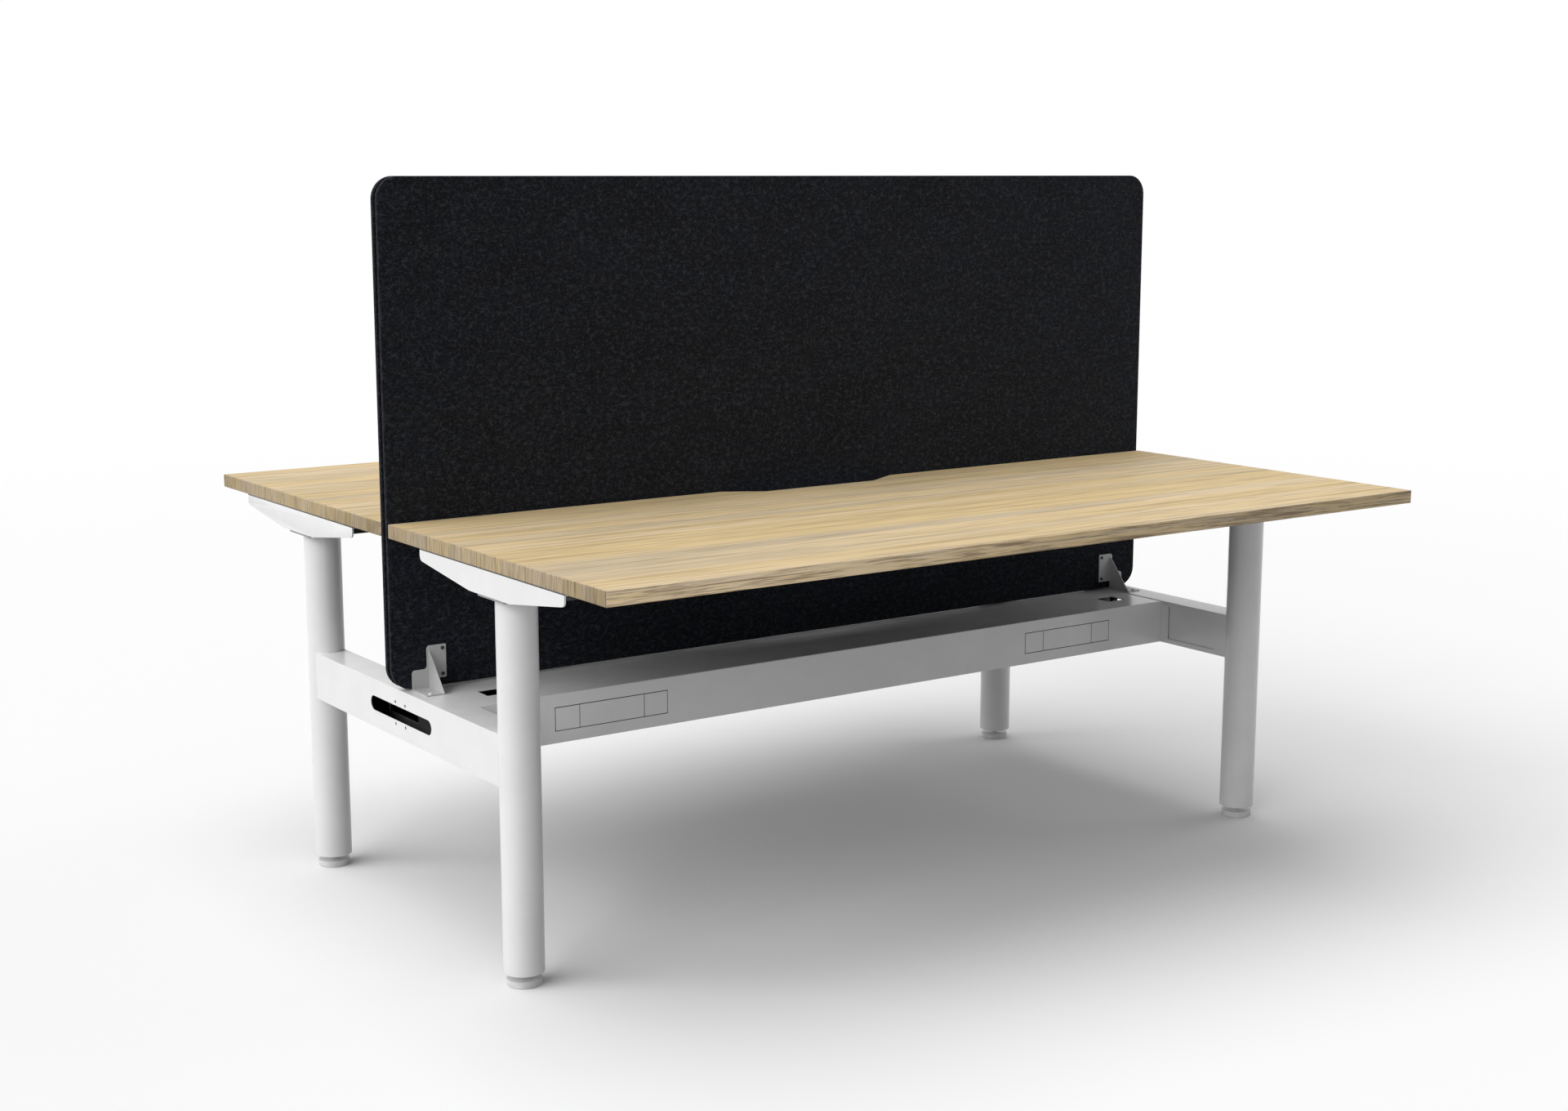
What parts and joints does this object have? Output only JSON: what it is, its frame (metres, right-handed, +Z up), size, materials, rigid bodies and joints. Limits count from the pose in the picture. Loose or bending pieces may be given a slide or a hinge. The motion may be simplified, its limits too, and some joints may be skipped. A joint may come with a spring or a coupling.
{
  "type": "back-to-back bench desk",
  "caption": "Back-to-back sit-stand bench with oak-look tops on white round columns, a cable beam between the ends and a tall felt screen down the middle.",
  "frame": {"origin": "on the floor, under the middle of the bench, with both desks at their lowest", "axes": "+X along the length of the tops, +Y from the front desk to the rear desk, +Z up"},
  "size_m": [1.8, 1.535, 1.3321],
  "materials": {
    "oak_top": "light oak melamine with straight grain, satin",
    "white_frame": "white powder coat, satin",
    "white_cover": "white powder coat, satin",
    "black_frame": "black powder coat, satin",
    "charcoal_felt": "pressed felt, charcoal",
    "dark_core": "matt black board",
    "bright_steel": "bright zinc plate",
    "motor_case": "matt black",
    "grey_foot": "light grey moulded plastic",
    "black_plastic": "black moulded plastic",
    "grey_rocker": "mid grey moulded plastic"
  },
  "bodies": {
    "base": {"front_leg_left": "white_frame", "front_guide_bush_left": "black_plastic", "front_drive_post_left": "bright_steel", "front_outlet_plate_left": "white_cover", "front_leg_right": "white_frame", "front_guide_bush_right": "black_plastic", "front_drive_post_right": "bright_steel", "front_outlet_plate_right": "white_cover", "front_beam_cover": "white_frame", "rear_leg_left": "white_frame", "rear_guide_bush_left": "black_plastic", "rear_drive_post_left": "bright_steel", "rear_outlet_plate_left": "white_cover", "rear_leg_right": "white_frame", "rear_guide_bush_right": "black_plastic", "rear_drive_post_right": "bright_steel", "rear_outlet_plate_right": "white_cover", "rear_beam_cover": "white_frame", "end_beam_left": "white_frame", "end_liner_left": "white_frame", "screen_bracket_left": "white_frame", "end_beam_right": "white_frame", "end_liner_right": "white_frame", "screen_bracket_right": "white_frame", "cable_beam": "white_frame", "screen_felt_front": "charcoal_felt", "screen_core": "dark_core", "screen_felt_rear": "charcoal_felt"},
    "front_desk": {"front_desktop": "oak_top", "front_rail_outer": "black_frame", "front_rail_inner": "black_frame", "front_control_box": "black_plastic", "front_handset": "black_plastic", "front_arm_left": "white_frame", "front_lift_tube_left": "white_frame", "front_motor_left": "motor_case", "front_arm_right": "white_frame", "front_lift_tube_right": "white_frame", "front_motor_right": "motor_case"},
    "front_screw_left": {"front_spindle_left": "bright_steel"},
    "front_leveller_left": {"front_foot_left": "grey_foot"},
    "front_screw_right": {"front_spindle_right": "bright_steel"},
    "front_leveller_right": {"front_foot_right": "grey_foot"},
    "front_switch": {"front_rocker": "grey_rocker"},
    "rear_desk": {"rear_desktop": "oak_top", "rear_rail_outer": "black_frame", "rear_rail_inner": "black_frame", "rear_control_box": "black_plastic", "rear_handset": "black_plastic", "rear_arm_left": "white_frame", "rear_lift_tube_left": "white_frame", "rear_motor_left": "motor_case", "rear_arm_right": "white_frame", "rear_lift_tube_right": "white_frame", "rear_motor_right": "motor_case"},
    "rear_screw_left": {"rear_spindle_left": "bright_steel"},
    "rear_leveller_left": {"rear_foot_left": "grey_foot"},
    "rear_screw_right": {"rear_spindle_right": "bright_steel"},
    "rear_leveller_right": {"rear_foot_right": "grey_foot"},
    "rear_switch": {"rear_rocker": "grey_rocker"}
  },
  "joints": [
    {"name": "front_lift", "type": "slide", "parent": "base", "child": "front_desk", "axis": [0, 0, 1], "range_m": [0, 0.44]},
    {"name": "front_screw_turn_left", "type": "hinge", "parent": "front_desk", "child": "front_screw_left", "pos_m": [-0.85, -0.3925, 0.3], "axis": [0, 0, 1], "range_deg": [0, 7930]},
    {"name": "front_level_left", "type": "slide", "parent": "base", "child": "front_leveller_left", "axis": [0, 0, -1], "range_m": [-0.01, 0.015]},
    {"name": "front_screw_turn_right", "type": "hinge", "parent": "front_desk", "child": "front_screw_right", "pos_m": [0.85, -0.3925, 0.3], "axis": [0, 0, 1], "range_deg": [0, 7930]},
    {"name": "front_level_right", "type": "slide", "parent": "base", "child": "front_leveller_right", "axis": [0, 0, -1], "range_m": [-0.01, 0.015]},
    {"name": "front_up_down", "type": "hinge", "parent": "front_desk", "child": "front_switch", "pos_m": [0.6, -0.6805, 0.6997], "axis": [1, 0, 0], "range_deg": [-7, 7], "stiffness_Nm_per_rad": 0.05},
    {"name": "rear_lift", "type": "slide", "parent": "base", "child": "rear_desk", "axis": [0, 0, 1], "range_m": [0, 0.44]},
    {"name": "rear_screw_turn_left", "type": "hinge", "parent": "rear_desk", "child": "rear_screw_left", "pos_m": [0.85, 0.3925, 0.3], "axis": [0, 0, 1], "range_deg": [0, 7930]},
    {"name": "rear_level_left", "type": "slide", "parent": "base", "child": "rear_leveller_left", "axis": [0, 0, -1], "range_m": [-0.01, 0.015]},
    {"name": "rear_screw_turn_right", "type": "hinge", "parent": "rear_desk", "child": "rear_screw_right", "pos_m": [-0.85, 0.3925, 0.3], "axis": [0, 0, 1], "range_deg": [0, 7930]},
    {"name": "rear_level_right", "type": "slide", "parent": "base", "child": "rear_leveller_right", "axis": [0, 0, -1], "range_m": [-0.01, 0.015]},
    {"name": "rear_up_down", "type": "hinge", "parent": "rear_desk", "child": "rear_switch", "pos_m": [-0.6, 0.6805, 0.6997], "axis": [-1, 0, 0], "range_deg": [-7, 7], "stiffness_Nm_per_rad": 0.05}
  ],
  "couplings": [
    {"joint": "front_screw_turn_left", "follows": "front_lift", "rad_per_m": 314.16},
    {"joint": "front_screw_turn_right", "follows": "front_lift", "rad_per_m": 314.16},
    {"joint": "rear_screw_turn_left", "follows": "rear_lift", "rad_per_m": 314.16},
    {"joint": "rear_screw_turn_right", "follows": "rear_lift", "rad_per_m": 314.16}
  ]
}
